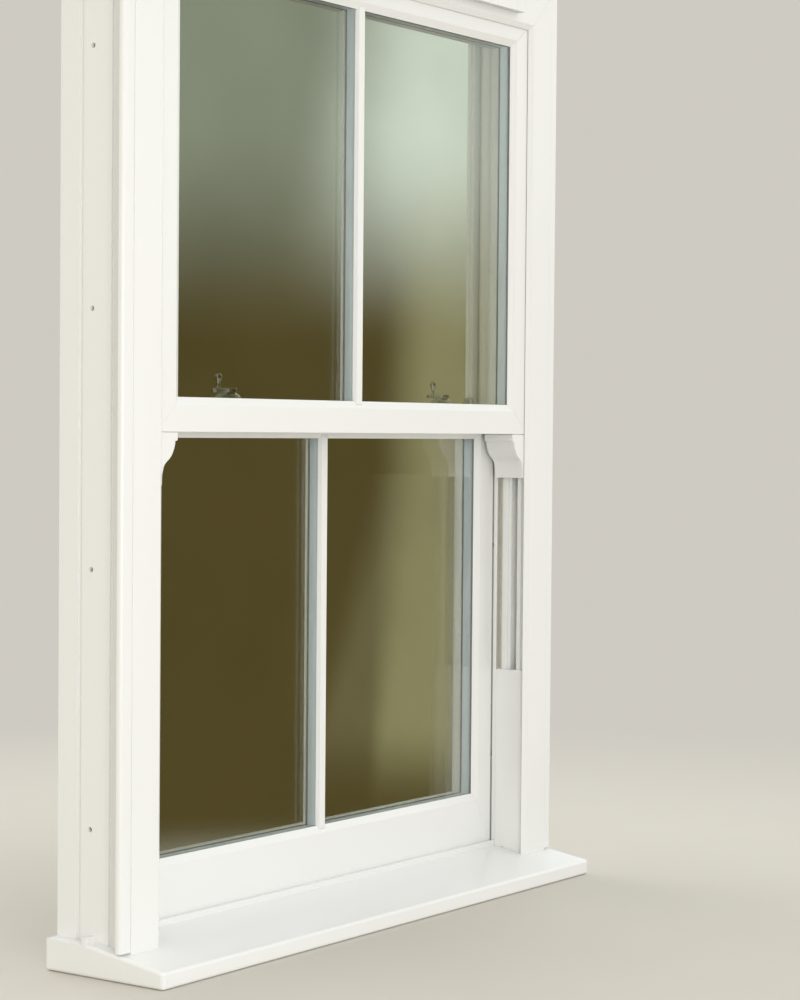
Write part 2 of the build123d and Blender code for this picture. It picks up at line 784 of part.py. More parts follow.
def make_lock(hand):
    """One sash lock: fixed base and dome, and the cam, shaft, arm and knob that turn."""
    place = lock_places[hand]
    pivot_y = lower_face + lock_setback
    length, width, plate = lock_plate
    cam_foot, cam_top = cam_levels()
    slot_foot = cam_foot - cam_play
    slot_top = cam_top + cam_play
    dome_top = lower_top + dome_height
    with BuildPart() as lock_base:
        with BuildSketch(Plane.XY.offset(lower_top)):
            with Locations((place, pivot_y)):
                RectangleRounded(length, width, width * lock_roundness)
        extrude(amount=plate)
        with BuildSketch(Plane.XY.offset(lower_top)):
            with Locations((place, pivot_y)):
                RectangleRounded(dome_length, dome_width, dome_width * lock_roundness)
        extrude(amount=dome_height, taper=dome_slope)
        fillet(lock_base.faces().sort_by(Axis.Z)[-1].edges(), dome_round)
        # Room for the cam to swing out towards the keeper
        cam_side = cam_width / 2 + cam_play
        box_between((place - length, pivot_y - width, slot_foot),
                    (place + cam_side, pivot_y + cam_side, slot_top), mode=Mode.SUBTRACT)
        box_between((place - overrun, pivot_y - width, slot_foot),
                    (place + length, pivot_y - cam_width / 2, slot_top), mode=Mode.SUBTRACT)
        with Locations((place, pivot_y, dome_top)):
            Cylinder(shaft_radius + fit_gap, 2 * dome_height - 2 * plate, mode=Mode.SUBTRACT)
    save(lock_base, f"lock_base_{hand}")

    arm_foot = dome_top + fit_gap
    along = (cos(radians(arm_turn)), sin(radians(arm_turn)), 0)
    knob_x = place + knob_offset * along[0]
    knob_y = pivot_y + knob_offset * along[1]
    with BuildPart() as lock_arm:
        with BuildSketch(Plane.XY.offset(cam_foot)):
            with Locations((place - cam_radius / 2 + cam_width / 4, pivot_y)):
                SlotOverall(cam_radius + cam_width / 2, cam_width)
        extrude(amount=cam_thickness)
        with Locations((place, pivot_y, (cam_foot + arm_foot) / 2)):
            Cylinder(shaft_radius, arm_foot - cam_foot)
        turned = Plane(origin=(place, pivot_y, arm_foot), x_dir=along, z_dir=(0, 0, 1))
        with BuildSketch(turned):
            with Locations((arm_half_width - arm_tail, 0)):
                Circle(arm_half_width)
            with Locations((arm_length - arm_end_half_width, 0)):
                Circle(arm_end_half_width)
            make_hull()
        extrude(amount=arm_thickness)
        fillet(lock_arm.faces().filter_by(Axis.Z).sort_by(Axis.Z)[-1].edges(), arm_round)
        knob_foot = arm_foot + arm_thickness - knob_waist
        knob_top = knob_foot + knob_height
        foot_edge = (knob_x + knob_foot_radius, knob_foot)
        with BuildSketch(Plane.XZ.offset(-knob_y)):
            with BuildLine():
                Polyline((knob_x, knob_top), (knob_x, knob_foot), foot_edge)
                Spline(foot_edge,
                       (knob_x + knob_foot_radius - knob_waist, knob_foot + knob_height * knob_waist_level),
                       (knob_x + knob_radius, knob_foot + knob_height * knob_widest_level),
                       (knob_x, knob_top), tangents=[(-0.3, 1), (-1, 0)])
            make_face()
        revolve(axis=Axis((knob_x, knob_y, 0), (0, 0, 1)))
    save(lock_arm, f"lock_arm_{hand}")


def latch_y():
    return inner_slot_y - latch_width / 2, inner_slot_y + latch_width / 2


def cut_latch_pockets():
    """Pockets and knob slots for the tilt latches, in the corners of the lower sash."""
    low_y, high_y = latch_y()
    top = lower_top - latch_drop
    for side in (-1, 1):
        near = side * (sash_half + overrun)
        far = side * (sash_half - latch_length - 5 * latch_gap)
        box_between((min(near, far), low_y - latch_gap, top - latch_height - latch_gap),
                    (max(near, far), high_y + latch_gap, top + latch_gap), mode=Mode.SUBTRACT)
        stem = sash_half - latch_stem_back
        slot_from = side * (stem - latch_stem_radius - latch_gap)
        slot_to = side * (stem + latch_travel + latch_stem_radius + latch_gap)
        half = latch_stem_radius + latch_gap
        box_between((min(slot_from, slot_to), inner_slot_y - half, top - overrun),
                    (max(slot_from, slot_to), inner_slot_y + half, lower_top + overrun), mode=Mode.SUBTRACT)


def make_tilt_latch():
    """Sliding bolt with a mushroom knob, drawn back inside the rail at rest."""
    low_y, high_y = latch_y()
    top = lower_top - latch_drop
    tip = sash_half - latch_gap
    stem_x = sash_half - latch_stem_back
    with BuildPart() as tilt_latch_right:
        box_between((tip - latch_length, low_y, top - latch_height), (tip, high_y, top))
        nose = tilt_latch_right.faces().sort_by(Axis.X)[-1].edges().sort_by(Axis.Y)[-1]
        chamfer(nose, latch_nose)
        knob_top = lower_top + latch_knob_height
        with BuildSketch(Plane.XZ.offset(-inner_slot_y)):
            with BuildLine():
                Polyline((stem_x, knob_top), (stem_x, top - overrun),
                         (stem_x + latch_stem_radius, top - overrun),
                         (stem_x + latch_stem_radius, lower_top + latch_knob_foot))
                Spline((stem_x + latch_stem_radius, lower_top + latch_knob_foot),
                       (stem_x + latch_knob_radius, lower_top + latch_knob_rim), (stem_x, knob_top),
                       tangents=[(1, 0.1), (-1, 0)])
            make_face()
        revolve(axis=Axis((stem_x, inner_slot_y, 0), (0, 0, 1)))
    save_pair(tilt_latch_right, "tilt_latch")


def make_lifts():
    """Two bar handles on the inside of the bottom rail."""
    height = lower_bottom + lift_height
    with BuildPart() as sash_lifts:
        for side in (-1, 1):
            centre = side * lift_spacing / 2
            half = lift_length / 2
            box_between((centre - half, lower_back + lift_reach - lift_bar, height - lift_bar / 2),
                        (centre + half, lower_back + lift_reach, height + lift_bar / 2))
            for end in (-1, 1):
                post = centre + end * (half - lift_bar / 2)
                box_between((post - lift_bar / 2, lower_back, height - lift_bar / 2),
                            (post + lift_bar / 2, lower_back + lift_reach, height + lift_bar / 2))
        fillet(sash_lifts.edges().filter_by(Axis.X), lift_round)
    save(sash_lifts, "sash_lifts")


def make_vent():
    """Hood outside, grille body inside and the flap that closes it."""
    hood_foot = frame_height - vent_drop
    hood_top = hood_foot + vent_hood_height
    half = vent_length / 2
    with BuildPart() as vent_hood:
        with BuildSketch(Plane.YZ.offset(-half)):
            with BuildLine():
                Polyline((-vent_top_depth, hood_top), (0, hood_top), (0, hood_foot),
                         (-vent_projection, hood_foot), (-vent_projection, hood_top - vent_round))
                RadiusArc((-vent_projection, hood_top - vent_round), (-vent_top_depth, hood_top), -vent_round)
            make_face()
        extrude(amount=vent_length)
        box_between((-half + vent_wall, -vent_projection + vent_wall, hood_foot - overrun),
                    (half - vent_wall, overrun, hood_top - vent_round), mode=Mode.SUBTRACT)
        # Fine joint lines of the end caps
        for side in (-1, 1):
            line_x = side * (half - vent_cap_length)
            box_between((line_x - vent_cap_line / 2, -vent_projection - overrun, hood_foot - overrun),
                        (line_x + vent_cap_line / 2, -vent_projection + vent_cap_line, hood_top - vent_round),
                        mode=Mode.SUBTRACT)
    save(vent_hood, "vent_hood")

    body_top = frame_height - vent_inner_drop
    body_foot = body_top - vent_inner_height
    inner_half = vent_inner_length / 2
    back = frame_depth + vent_inner_depth
    slot_z = frame_height - vent_slot_drop
    mouth_half = vent_mouth_length / 2
    mouth_foot = body_foot + vent_rim_height
    mouth_top = body_top - vent_rim_height
    flap_half = mouth_half - flap_gap
    flap_back = back - flap_gap
    pin_y = flap_back - flap_thickness / 2
    pin_z = mouth_top - flap_gap - flap_thickness / 2
    with BuildPart() as vent_body:
        box_between((-inner_half, frame_depth, body_foot), (inner_half, back, body_top))
        box_between((-mouth_half, frame_depth + flap_thickness, mouth_foot),
                    (mouth_half, back + overrun, mouth_top), mode=Mode.SUBTRACT)
        with BuildSketch(Plane.XZ):
            with Locations((0, slot_z)):
                with GridLocations(vent_slot_pitch, 1, vent_slot_count, 1):
                    SlotOverall(vent_slot_length, vent_slot_height)
        extrude(amount=-(back + overrun), mode=Mode.SUBTRACT)
        fillet(vent_body.edges().filter_by(Axis.X).group_by(Axis.Y)[-1], vent_edge_round)
        # Sockets for the pins of the flap
        with Locations(Plane(origin=(0, pin_y, pin_z), z_dir=(1, 0, 0))):
            Cylinder(flap_pin_radius + fit_gap, 2 * (flap_half + flap_pin_reach + fit_gap),
                     mode=Mode.SUBTRACT)
    save(vent_body, "vent_body")

    with BuildPart() as vent_flap:
        box_between((-flap_half, flap_back - flap_thickness, mouth_foot + flap_gap),
                    (flap_half, flap_back, mouth_top - flap_gap))
        box_between((-flap_grip_length / 2, flap_back - flap_gap, mouth_foot + flap_gap),
                    (flap_grip_length / 2, flap_back + flap_grip_reach,
                     mouth_foot + flap_gap + flap_thickness))
        fillet(vent_flap.edges().filter_by(Axis.X).group_by(Axis.Y)[-1], vent_edge_round)
        with Locations(Plane(origin=(0, pin_y, pin_z), z_dir=(1, 0, 0))):
            Cylinder(flap_pin_radius, 2 * (flap_half + flap_pin_reach))
    save(vent_flap, "vent_flap")


make_sill()
make_sill_end_cap()
make_jamb()
make_head()
make_jamb_cover()
make_jamb_trim()
make_brush_seals()
make_sash_frame("upper", upper_face, (meeting_bottom, upper_top), (meeting_sight, upper_sight_top),
                ("upper_meeting_rail", "upper_top_rail"))
make_glazing("upper", upper_face, (meeting_sight, upper_sight_top))
make_sash_frame("lower", lower_face, (lower_bottom, lower_top), (lower_sight, lower_sight_top),
                ("lower_bottom_rail", "lower_top_rail"))
make_glazing("lower", lower_face, (lower_sight, lower_sight_top))
make_horn()
make_interlock()
make_keepers()
balance_parts("upper", outer_slot_y, meeting_bottom + pivot_height, 0, upper_travel)
balance_parts("lower", inner_slot_y, lower_bottom + pivot_height, lower_travel, 0)
for hand in lock_places:
    make_lock(hand)
make_tilt_latch()
make_lifts()
make_vent()
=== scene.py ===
"""Looks of a white plastic vertical sliding sash window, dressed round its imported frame."""
import json
from math import cos, pi, radians, sin
from random import Random

import bmesh
import bpy
from mathutils import Matrix, Vector


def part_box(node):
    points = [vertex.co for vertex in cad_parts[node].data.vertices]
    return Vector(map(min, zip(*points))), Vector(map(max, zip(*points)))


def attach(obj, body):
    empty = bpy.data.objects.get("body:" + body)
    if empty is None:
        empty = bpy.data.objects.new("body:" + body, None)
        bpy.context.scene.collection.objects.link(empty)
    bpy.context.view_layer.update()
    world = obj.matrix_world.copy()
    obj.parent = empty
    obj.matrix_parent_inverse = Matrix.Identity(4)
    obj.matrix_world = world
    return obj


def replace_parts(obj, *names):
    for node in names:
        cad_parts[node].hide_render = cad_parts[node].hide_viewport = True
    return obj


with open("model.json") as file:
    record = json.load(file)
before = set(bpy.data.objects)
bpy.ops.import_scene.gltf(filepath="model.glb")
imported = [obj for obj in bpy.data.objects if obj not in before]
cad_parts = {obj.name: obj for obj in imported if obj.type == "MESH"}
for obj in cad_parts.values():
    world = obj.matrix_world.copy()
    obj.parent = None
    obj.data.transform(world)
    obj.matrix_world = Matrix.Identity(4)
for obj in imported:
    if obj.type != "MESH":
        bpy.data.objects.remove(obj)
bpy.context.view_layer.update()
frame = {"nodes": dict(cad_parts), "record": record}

scene = bpy.context.scene

# Where the photograph was taken from, in the window's own frame
CAMERA_PLACE = (-3.792, -2.769, 0.942)
CAMERA_HEADING = radians(54.7)
CAMERA_PITCH = radians(1.6)
CAMERA_ROLL = radians(0.46)
FOCAL_PIXELS = 2443
PHOTO_LONG_SIDE = 1000
SENSOR_WIDTH = 36


# Shader values and nodes

class Value:
    """A socket's number over a surface. Sums and products of values add their Math nodes."""

    def __init__(self, finish, socket):
        self.finish = finish
        self.socket = socket

    def maths(self, operation, *terms):
        sockets = dict(enumerate(terms))
        node = self.finish.add("ShaderNodeMath", {"operation": operation}, sockets)
        return Value(self.finish, node.outputs[0])

    def __add__(self, other):
        return self.maths("ADD", self, other)

    def __radd__(self, other):
        return self.maths("ADD", other, self)

    def __sub__(self, other):
        return self.maths("SUBTRACT", self, other)

    def __rsub__(self, other):
        return self.maths("SUBTRACT", other, self)

    def __mul__(self, other):
        return self.maths("MULTIPLY", self, other)

    def __rmul__(self, other):
        return self.maths("MULTIPLY", other, self)

    def __truediv__(self, other):
        return self.maths("DIVIDE", self, other)

    def __pow__(self, other):
        return self.maths("POWER", self, other)

    def clipped(self):
        return self.maths("MINIMUM", self.maths("MAXIMUM", self, 0.0), 1.0)

    def ramp(self, start, end):
        """0 up to start, 1 from end on, smooth between."""
        node = self.finish.add("ShaderNodeMapRange", {"interpolation_type": "SMOOTHSTEP"},
                               {"Value": self, "From Min": start, "From Max": end})
        return Value(self.finish, node.outputs[0])

    def wave(self, pitch):
        """Rises and falls once in each pitch."""
        return self.maths("SINE", self * (2 * pi / pitch))


class Finish:
    """A material, the floor or the world, and the nodes that make it."""

    def __init__(self, name, tree=None):
        self.material = None
        if tree is None:
            self.material = bpy.data.materials.new(name)
            self.material.use_nodes = True
            tree = self.material.node_tree
        self.tree = tree
        self.tree.nodes.clear()

    def add(self, kind, settings=None, sockets=None):
        """A node of that kind: its settings first, then the values or links of its sockets."""
        node = self.tree.nodes.new(kind)
        for name, setting in (settings or {}).items():
            setattr(node, name, setting)
        for name, value in (sockets or {}).items():
            socket = node.inputs[name]
            if isinstance(value, Value):
                self.tree.links.new(value.socket, socket)
            elif isinstance(value, bpy.types.NodeSocket):
                self.tree.links.new(value, socket)
            else:
                socket.default_value = value
        return node

    def place(self):
        """Position on the object, in metres."""
        return self.add("ShaderNodeTexCoord").outputs["Object"]

    def axes(self, place):
        node = self.add("ShaderNodeSeparateXYZ", sockets={0: place})
        return [Value(self, output) for output in node.outputs]

    def noise(self, place, size, detail=2.0, stretch=(1, 1, 1)):
        """Soft noise from 0 to 1, with blotches of that size in metres."""
        scaled = self.add("ShaderNodeVectorMath", {"operation": "MULTIPLY"}, {0: place, 1: stretch})
        node = self.add("ShaderNodeTexNoise", sockets={"Vector": scaled.outputs[0], "Scale": 1 / size,
                                                       "Detail": detail})
        return Value(self, node.outputs[0])

    def mixed(self, share, low, high):
        """A colour between two, by a share from 0 to 1."""
        node = self.add("ShaderNodeMix", {"data_type": "RGBA"})
        for index, value in ((0, share), (6, low), (7, high)):
            if isinstance(value, Value):
                self.tree.links.new(value.socket, node.inputs[index])
            elif isinstance(value, bpy.types.NodeSocket):
                self.tree.links.new(value, node.inputs[index])
            elif index == 0:
                node.inputs[index].default_value = value
            else:
                node.inputs[index].default_value = (*value, 1)
        return node.outputs[2]

    def bump(self, height, depth, normal=None):
        """A normal raised by a height from 0 to 1, of that depth in metres."""
        sockets = {"Height": height, "Distance": depth, "Strength": 1.0}
        if normal is not None:
            sockets["Normal"] = normal
        return self.add("ShaderNodeBump", sockets=sockets).outputs[0]

    def ray_kinds(self):
        """Whether the surface is seen straight, and whether it is seen in glass or metal."""
        seen = self.add("ShaderNodeLightPath")
        straight = Value(self, seen.outputs["Is Camera Ray"])
        mirrored = Value(self, seen.outputs["Is Glossy Ray"])
        passed = Value(self, seen.outputs["Is Transmission Ray"])
        return straight, (mirrored + passed).clipped()

    def soft_edges(self, radius):
        """The normal of a moulding whose arrises are rounded."""
        return self.add("ShaderNodeBevel", {"samples": 4}, {"Radius": radius}).outputs[0]

    def finished(self, **sockets):
        """The surface itself, from its sockets by name, with _ for a space."""
        named = {name.replace("_", " "): value for name, value in sockets.items()}
        shader = self.add("ShaderNodeBsdfPrincipled", sockets=named)
        self.add("ShaderNodeOutputMaterial", sockets={"Surface": shader.outputs[0]})
        return self.material


def plastic_white():
    """Extruded white plastic: slightly glossy, with a fine grain and very soft clouds in its white."""
    finish = Finish("plastic_white")
    place = finish.place()
    clouds = finish.noise(place, 0.5, 1)
    grain = finish.noise(place, 0.0009, 1)
    body = finish.mixed(clouds, (0.880, 0.888, 0.888), (0.862, 0.868, 0.860))
    colour = finish.mixed(grain * 0.12, body, (0.83, 0.83, 0.81))
    peel = finish.noise(place, 0.0035, 2)
    normal = finish.bump(peel, 0.000012, finish.soft_edges(0.0012))
    return finish.finished(Base_Color=colour, Roughness=0.18 + 0.08 * clouds, Normal=normal, IOR=1.5)


def glass(name, tint, filmed):
    """Float glass: its tint, a faint film and a breath of waviness; a dark tint paints shade into the pane.
    """
    finish = Finish(name)
    place = finish.place()
    film = finish.noise(place, 0.3, 2)
    colour = finish.mixed(film.ramp(0.3, 0.8) * filmed, tint, tuple(0.85 * c + 0.03 for c in tint))
    wavy = finish.noise(place, 0.18, 1)
    return finish.finished(Base_Color=colour, Roughness=0.0, Transmission_Weight=1.0, IOR=1.5,
                           Normal=finish.bump(wavy, 0.00006))


def spacer_metal():
    """Folded aluminium spacer bar with its row of fine breathing holes; its pale blue-grey is partly the
    metal's own silver and partly a painted reflection of a bright sky.
    """
    finish = Finish("spacer_metal")
    place = finish.place()
    x, y, z = finish.axes(place)
    grain = finish.noise(place, 0.002, 2, stretch=(0.1, 1, 0.1))
    dots = ((x + z).wave(0.004) * y.wave(0.006)).ramp(0.75, 0.9)
    # Pale blue-grey: aluminium silver, lightened for the dim light behind the glass and blued as a painted
    # reflection of a bright sky.
    colour = finish.mixed(grain, (0.66, 0.74, 0.78), (0.76, 0.83, 0.87))
    holed = finish.mixed(dots * 0.6, colour, (0.12, 0.13, 0.14))
    return finish.finished(Base_Color=holed, Metallic=0.35, Roughness=0.36 + 0.12 * grain,
                           Normal=finish.bump(grain, 0.00004))


def grey_rubber():
    """Soft grey glazing seal, matt, with a faint extrusion grain."""
    finish = Finish("grey_rubber")
    place = finish.place()
    grain = finish.noise(place, 0.0015, 3)
    colour = finish.mixed(grain, (0.20, 0.20, 0.19), (0.27, 0.27, 0.255))
    normal = finish.bump(grain, 0.0001)
    return finish.finished(Base_Color=colour, Roughness=0.62 + 0.15 * grain, Normal=normal)


def brush_pile():
    """Close grey pile of a weather strip, combed across the strip."""
    finish = Finish("brush_pile")
    place = finish.place()
    hairs = finish.noise(place, 0.0008, 3)
    clumps = finish.noise(place, 0.01, 2)
    colour = finish.mixed(hairs, (0.60, 0.57, 0.48), (0.80, 0.77, 0.68))
    shaded = finish.mixed(clumps.ramp(0.45, 0.7) * 0.4, colour, (0.55, 0.52, 0.43))
    return finish.finished(Base_Color=shaded, Roughness=0.9, Normal=finish.bump(hairs, 0.0006))


def nylon_white():
    """Moulded shoes and plastic tubes, satin and slightly cream."""
    finish = Finish("nylon_white")
    place = finish.place()
    clouds = finish.noise(place, 0.05, 2)
    colour = finish.mixed(clouds, (0.78, 0.775, 0.74), (0.70, 0.695, 0.655))
    normal = finish.bump(finish.noise(place, 0.0012, 2), 0.00003, finish.soft_edges(0.0006))
    return finish.finished(Base_Color=colour, Roughness=0.42 + 0.1 * clouds, Normal=normal)


def plated_steel():
    """Zinc-plated steel with a soft brushed grain."""
    finish = Finish("plated_steel")
    place = finish.place()
    grain = finish.noise(place, 0.0012, 3, stretch=(1, 1, 0.08))
    bloom = finish.noise(place, 0.03, 3)
    colour = finish.mixed(bloom, (0.54, 0.54, 0.53), (0.66, 0.66, 0.64))
    return finish.finished(Base_Color=colour, Metallic=1.0, Roughness=0.28 + 0.18 * grain,
                           Normal=finish.bump(grain, 0.00005))


def polished_chrome():
    """Plating, darkened and warmed as a painted reflection of a dark room, with finger marks and very light
    wear.
    """
    finish = Finish("polished_chrome")
    place = finish.place()
    marks = finish.noise(place, 0.012, 3)
    fine = finish.noise(place, 0.0006, 2)
    # Both tones are darker and warmer than bright chrome, a painted reflection of a dark room; the darker
    # one marks finger marks.
    colour = finish.mixed(marks.ramp(0.5, 0.8), (0.70, 0.68, 0.61), (0.60, 0.585, 0.52))
    normal = finish.bump(fine, 0.000006, finish.soft_edges(0.0005))
    return finish.finished(Base_Color=colour, Metallic=1.0, Roughness=0.05 + 0.10 * marks.ramp(0.5, 0.8),
                           Normal=normal)


def finishes():
    """Every finish by the name of the record's material slot."""
    return {
        "upvc": plastic_white(),
        "spacer": spacer_metal(),
        "gasket": grey_rubber(),
        "pile": brush_pile(),
        "white_nylon": nylon_white(),
        "steel": plated_steel(),
        "chrome": polished_chrome(),
    }


def dress_nodes(made):
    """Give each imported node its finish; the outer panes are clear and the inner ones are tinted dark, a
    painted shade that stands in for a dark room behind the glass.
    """
    clear = glass("glass_clear", (0.93, 0.955, 0.93), 0.6)
    # The inner panes' dark tint is painted shade: it stands in for a dark room behind the window.
    painted_shade_glass = glass("glass_painted_shade", (0.55, 0.545, 0.47), 0.8)
    slots = {row["node"]: row["material_slot"] for row in frame["record"]["subparts"]}
    for node, piece in frame["nodes"].items():
        if slots[node] == "glass":
            chosen = clear if node.endswith("outer") else painted_shade_glass
            piece.visible_shadow = False
        else:
            chosen = made[slots[node]]
        for place in piece.material_slots:
            place.material = chosen
        if not piece.material_slots:
            piece.data.materials.append(chosen)


# Pieces made here

SHARP_ANGLE = radians(35)


def to_object(name, mesh):
    """A mesh under way as an object in the scene."""
    data = bpy.data.meshes.new(name)
    bmesh.ops.recalc_face_normals(mesh, faces=mesh.faces)
    mesh.to_mesh(data)
    mesh.free()
    thing = bpy.data.objects.new(name, data)
    scene.collection.objects.link(thing)
    return thing


def join_rings(mesh, rings):
    """Faces between each ring of corners and the next, and one over each end."""
    mesh.faces.new(rings[0][::-1])
    mesh.faces.new(rings[-1])
    sides = len(rings[0])
    for lower, upper in zip(rings, rings[1:]):
        for i in range(sides):
            j = (i + 1) % sides
            mesh.faces.new((lower[i], lower[j], upper[j], upper[i]))


def add_frustum(mesh, foot, head):
    """A four-sided solid between two rings of four corners."""
    join_rings(mesh, [[mesh.verts.new(corner) for corner in ring] for ring in (foot, head)])


def ring_of_four(middle, first, second):
    """Corners of a rectangle, by its middle and its two half sides."""
    return [middle + first * a + second * b for a, b in ((-1, -1), (1, -1), (1, 1), (-1, 1))]


def cut_pocket(piece, low, high):
    """Cut a block out of a piece, by its lowest and highest corners."""
    low, high = Vector(low), Vector(high)
    half = (high - low) / 2
    foot, head = (low + high) / 2, (low + high) / 2
    foot.z, head.z = low.z, high.z
    sides = Vector((half.x, 0, 0)), Vector((0, half.y, 0))
    mesh = bmesh.new()
    add_frustum(mesh, ring_of_four(foot, *sides), ring_of_four(head, *sides))
    cutter = to_object("pocket", mesh)
    modifier = piece.modifiers.new("pocket", "BOOLEAN")
    modifier.operation = "DIFFERENCE"
    modifier.solver = "EXACT"
    modifier.object = cutter
    graph = bpy.context.evaluated_depsgraph_get()
    piece.data = bpy.data.meshes.new_from_object(piece.evaluated_get(graph))
    piece.modifiers.clear()
    bpy.data.objects.remove(cutter)


def add_piece(name, mesh, body, slot, pockets=(), smooth=False):
    """A finished mesh as a piece that rides on a body, with any pockets cut out of it."""
    piece = to_object(name, mesh)
    for low, high in pockets:
        cut_pocket(piece, low, high)
    if smooth:
        piece.data.shade_smooth()
        piece.data.set_sharp_from_angle(angle=SHARP_ANGLE)
    piece.data.materials.clear()
    piece.data.materials.append(made[slot])
    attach(piece, body)
    return piece


# Pile: the backing's share of the strip's depth, how far apart the tufts stand, how uneven they are,
# and their half widths in shares of their own pitches
BACKING_SHARE = 0.12
TUFT_PITCH = 0.002
TUFT_REACH = (0.86, 0.99)
TUFT_LEAN = 0.25
ROW_LEAN = 0.18
TUFT_FOOT = (0.48, 0.46)
TUFT_TIP = (0.22, 0.26)


def add_pile(mesh, chance, low, high, run, reach, rows):
    """A backing strip along one axis, and rows of uneven tufts that reach out of it across another.

    low and high are the strip's corners; reach is 1 or -1 times the index of the axis, counted from 1.
    """
    out = abs(reach) - 1
    side = 3 - run - out
    way = 1 if reach > 0 else -1
    axes = [Vector((1, 0, 0)), Vector((0, 1, 0)), Vector((0, 0, 1))]
    low, high = Vector(low), Vector(high)
    size = high - low
    backing = size[out] * BACKING_SHARE
    root = low[out] if reach > 0 else high[out]
    middle = (low + high) / 2
    middle[out] = root
    long_half, wide_half = axes[run] * size[run] / 2, axes[side] * size[side] / 2
    add_frustum(mesh, ring_of_four(middle, long_half, wide_half),
                ring_of_four(middle + axes[out] * way * backing, long_half, wide_half))
    row_width = size[side] / rows
    for i in range(int(size[run] / TUFT_PITCH)):
        for row in range(rows):
            foot = middle + axes[out] * way * backing * 0.5
            foot[run] = low[run] + (i + 0.5) * TUFT_PITCH
            foot[side] = low[side] + (row + 0.5) * row_width
            tip = foot.copy()
            tip[out] = root + way * size[out] * chance.uniform(*TUFT_REACH)
            tip[run] += TUFT_PITCH * chance.uniform(-TUFT_LEAN, TUFT_LEAN)
            tip[side] += row_width * chance.uniform(-ROW_LEAN, ROW_LEAN)
            along, across = axes[run] * TUFT_PITCH, axes[side] * row_width
            add_frustum(mesh, ring_of_four(foot, along * TUFT_FOOT[0], across * TUFT_FOOT[1]),
                        ring_of_four(tip, along * TUFT_TIP[0], across * TUFT_TIP[1]))


def make_pile_strips():
    """Pile seals: two strips and a thin one in each jamb, and the strip between the sashes."""
    chance = Random(5)
    rows = 3
    head = 1.8045
    # nearest and farthest x, front and back y, foot, and whether the tufts reach inwards or to the back
    strips = (
        (0.5928, 0.602, 0.0728, 0.0778, 0.438, True),
        (0.5928, 0.5995, 0.1034, 0.1084, 0.056, True),
        (0.585, 0.590, 0.008, 0.0092, 0.0463, False),
    )
    mesh = bmesh.new()
    for side in (-1, 1):
        for near, far, front, back, foot, inwards in strips:
            xs = sorted((side * near, side * far))
            reach = -side if inwards else 2
            add_pile(mesh, chance, (xs[0], front, foot), (xs[1], back, head), 2, reach, rows)
    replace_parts(add_piece("jamb_pile_strips", mesh, "frame", "pile"), "brush_seals")
    mesh = bmesh.new()
    low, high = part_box("meeting_brush")
    add_pile(mesh, chance, low, high, 0, 2, rows)
    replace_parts(add_piece("meeting_pile_strip", mesh, "upper_sash", "pile"), "meeting_brush")


def make_twisted_rods(node, body):
    """The balance rods: flat bar twisted into a long even spiral."""
    turn_length = 0.042
    step = 0.002
    wide_share, thick_share = 0.97, 0.24
    low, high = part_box(node)
    half = (high[1] - low[1]) / 2
    middle_y = (low[1] + high[1]) / 2
    mesh = bmesh.new()
    for side in (-1, 1):
        middle_x = side * (high[0] - half)
        steps = int((high[2] - low[2]) / step)
        rings = []
        for i in range(steps + 1):
            z = low[2] + (high[2] - low[2]) * i / steps
            angle = 2 * pi * (z - low[2]) / turn_length
            wide = Vector((cos(angle), sin(angle), 0)) * half * wide_share
            thick = Vector((-sin(angle), cos(angle), 0)) * half * thick_share
            corners = ring_of_four(Vector((middle_x, middle_y, z)), wide, thick)
            rings.append([mesh.verts.new(corner) for corner in corners])
        join_rings(mesh, rings)
    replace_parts(add_piece("twisted_" + node, mesh, body, "steel", smooth=True), node)


def make_vent_grille():
    """Fine bars across the open underside of the vent hood, tied by two long ribs."""
    low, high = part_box("vent_hood")
    wall = 0.0022
    pitch = 0.006
    bar_foot, bar_height = low[2] + 0.0006, 0.0024
    bar_half_widths = (0.0006, 0.0009)
    rib_inset = 0.0003
    rib_half_widths = (0.0005, 0.0008)
    front, back = low[1] + wall, -0.0003
    length = high[0] - low[0] - 2 * wall
    bar_head = bar_foot + bar_height
    mesh = bmesh.new()
    across = Vector((0, (back - front) / 2, 0))
    count = int(length / pitch)
    for i in range(count):
        x = (i - (count - 1) / 2) * pitch
        rings = [ring_of_four(Vector((x, (front + back) / 2, z)), Vector((half, 0, 0)), across)
                 for z, half in zip((bar_foot, bar_head), bar_half_widths)]
        add_frustum(mesh, *rings)
    along = Vector((length / 2, 0, 0))
    for share in (0.33, 0.67):
        y = front + (back - front) * share
        rings = [ring_of_four(Vector((0, y, z)), along, Vector((0, half, 0)))
                 for z, half in zip((bar_foot + rib_inset, bar_head - rib_inset), rib_half_widths)]
        add_frustum(mesh, *rings)
    add_piece("vent_grille", mesh, "frame", "upvc")


def make_lift_roses():
    """Turned roses round the feet of the two lift handles."""
    face_y, foot_z = 0.162, 0.1115
    feet = (-0.3455, -0.2545, 0.2545, 0.3455)
    # radius and height of each turned edge, from the rail outwards
    profile = ((0.0100, 0.0), (0.0100, 0.0010), (0.0096, 0.0016), (0.0084, 0.0021), (0.0050, 0.0023))
    sides = 48
    turns = [2 * pi * i / sides for i in range(sides)]
    mesh = bmesh.new()
    for foot_x in feet:
        rings = []
        for radius, height in profile:
            corners = [(foot_x + radius * cos(a), face_y + height, foot_z + radius * sin(a)) for a in turns]
            rings.append([mesh.verts.new(corner) for corner in corners])
        join_rings(mesh, rings)
    add_piece("lift_roses", mesh, "lower_sash", "chrome", smooth=True)


def rounded(share, half):
    """A point of a full oval: the share is a sine or cosine, the half is the oval's half width."""
    return abs(share) ** 0.7 * (1 if share > 0 else -1) * half


